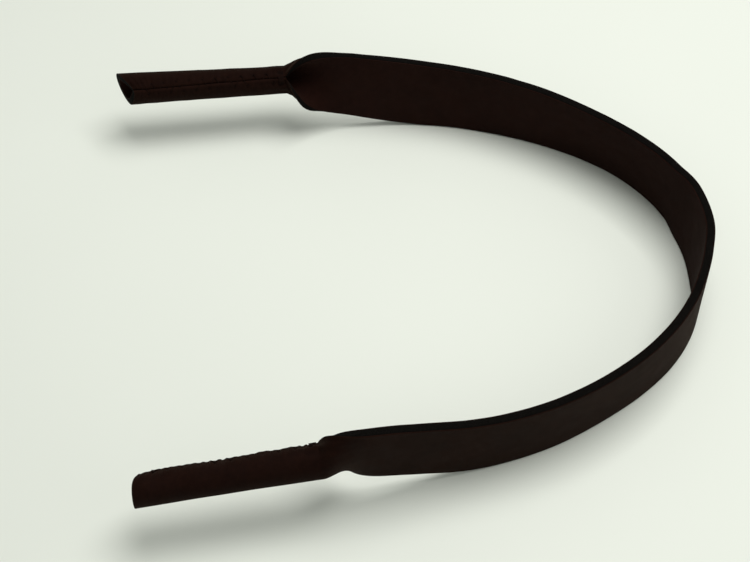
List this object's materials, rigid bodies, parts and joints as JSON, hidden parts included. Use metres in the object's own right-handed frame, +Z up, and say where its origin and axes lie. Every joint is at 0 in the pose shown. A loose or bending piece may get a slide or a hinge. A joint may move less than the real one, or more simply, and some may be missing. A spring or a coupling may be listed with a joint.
{
  "type": "eyeglass retainer strap",
  "caption": "Soft knit-faced foam strap with a sewn sleeve at each end that holds a temple arm, so that glasses hang round the neck.",
  "frame": {"origin": "middle of the footprint, on the surface that the band's lower edge stands on", "axes": "+X from the sleeves to the back of the loop, +Y towards the wearer's right, +Z up; the wearer faces -X"},
  "size_m": [0.1725, 0.15, 0.0345],
  "materials": {
    "outer_knit": "fine knitted jersey, matt, very dark brown",
    "foam_core": "raw cut edge of closed-cell sponge, near black",
    "inner_knit": "fine knitted jersey, matt, a little darker and warmer than the outer one",
    "seam_thread": "twisted sewing thread with a slight sheen, dark brown"
  },
  "bodies": {
    "back": {"foam_back": "foam_core", "outer_facing_back": "outer_knit", "inner_facing_back": "inner_knit"},
    "left_band_1": {"foam_left_band_1": "foam_core", "outer_facing_left_band_1": "outer_knit", "inner_facing_left_band_1": "inner_knit"},
    "left_band_2": {"foam_left_band_2": "foam_core", "outer_facing_left_band_2": "outer_knit", "inner_facing_left_band_2": "inner_knit"},
    "left_band_3": {"foam_left_band_3": "foam_core", "outer_facing_left_band_3": "outer_knit", "inner_facing_left_band_3": "inner_knit"},
    "left_sleeve": {"foam_left_sleeve": "foam_core", "outer_facing_left_sleeve": "outer_knit", "inner_facing_left_sleeve": "inner_knit", "left_seam_thread": "seam_thread", "left_throat_tack": "seam_thread"},
    "right_band_1": {"foam_right_band_1": "foam_core", "outer_facing_right_band_1": "outer_knit", "inner_facing_right_band_1": "inner_knit"},
    "right_band_2": {"foam_right_band_2": "foam_core", "outer_facing_right_band_2": "outer_knit", "inner_facing_right_band_2": "inner_knit"},
    "right_band_3": {"foam_right_band_3": "foam_core", "outer_facing_right_band_3": "outer_knit", "inner_facing_right_band_3": "inner_knit"},
    "right_sleeve": {"foam_right_sleeve": "foam_core", "outer_facing_right_sleeve": "outer_knit", "inner_facing_right_sleeve": "inner_knit", "right_seam_thread": "seam_thread", "right_throat_tack": "seam_thread"}
  },
  "joints": [
    {"name": "left_bend_1", "type": "hinge", "parent": "back", "child": "left_band_1", "pos_m": [0.08246, -0.01986, 0.01355], "axis": [-0.0473, 0.0165, 0.9987], "range_deg": [-4, 39], "stiffness_Nm_per_rad": 0.004},
    {"name": "left_bend_2", "type": "hinge", "parent": "left_band_1", "child": "left_band_2", "pos_m": [0.06372, -0.04526, 0.01353], "axis": [-0.0158, 0.0202, 0.9997], "range_deg": [-3, 27], "stiffness_Nm_per_rad": 0.004},
    {"name": "left_bend_3", "type": "hinge", "parent": "left_band_2", "child": "left_band_3", "pos_m": [0.03179, -0.06151, 0.01353], "axis": [0.0086, -0.0275, 0.9996], "range_deg": [-3, 21], "stiffness_Nm_per_rad": 0.004},
    {"name": "left_sleeve_swing", "type": "hinge", "parent": "left_band_3", "child": "left_sleeve", "pos_m": [-0.01364, -0.06815, 0.01909], "axis": [-0.0018, 0.017, 0.9999], "range_deg": [-30, 60], "stiffness_Nm_per_rad": 0.004},
    {"name": "right_bend_1", "type": "hinge", "parent": "back", "child": "right_band_1", "pos_m": [0.08163, 0.01141, 0.01356], "axis": [0.0933, 0.0376, -0.9949], "range_deg": [-4, 37], "stiffness_Nm_per_rad": 0.004},
    {"name": "right_bend_2", "type": "hinge", "parent": "right_band_1", "child": "right_band_2", "pos_m": [0.0623, 0.03652, 0.01354], "axis": [0.0955, 0.1122, -0.9891], "range_deg": [-3, 21], "stiffness_Nm_per_rad": 0.004},
    {"name": "right_bend_3", "type": "hinge", "parent": "right_band_2", "child": "right_band_3", "pos_m": [0.03172, 0.05527, 0.01352], "axis": [0.0061, 0.0139, -0.9999], "range_deg": [-2, 19], "stiffness_Nm_per_rad": 0.004},
    {"name": "right_sleeve_swing", "type": "hinge", "parent": "right_band_3", "child": "right_sleeve", "pos_m": [-0.01265, 0.06678, 0.01762], "axis": [-0.0274, -0.1575, -0.9871], "range_deg": [-30, 60], "stiffness_Nm_per_rad": 0.004}
  ],
  "couplings": [
    {"joint": "left_bend_2", "follows": "left_bend_1", "ratio": 0.69},
    {"joint": "left_bend_3", "follows": "left_bend_1", "ratio": 0.52},
    {"joint": "right_bend_2", "follows": "right_bend_1", "ratio": 0.55},
    {"joint": "right_bend_3", "follows": "right_bend_1", "ratio": 0.49}
  ]
}
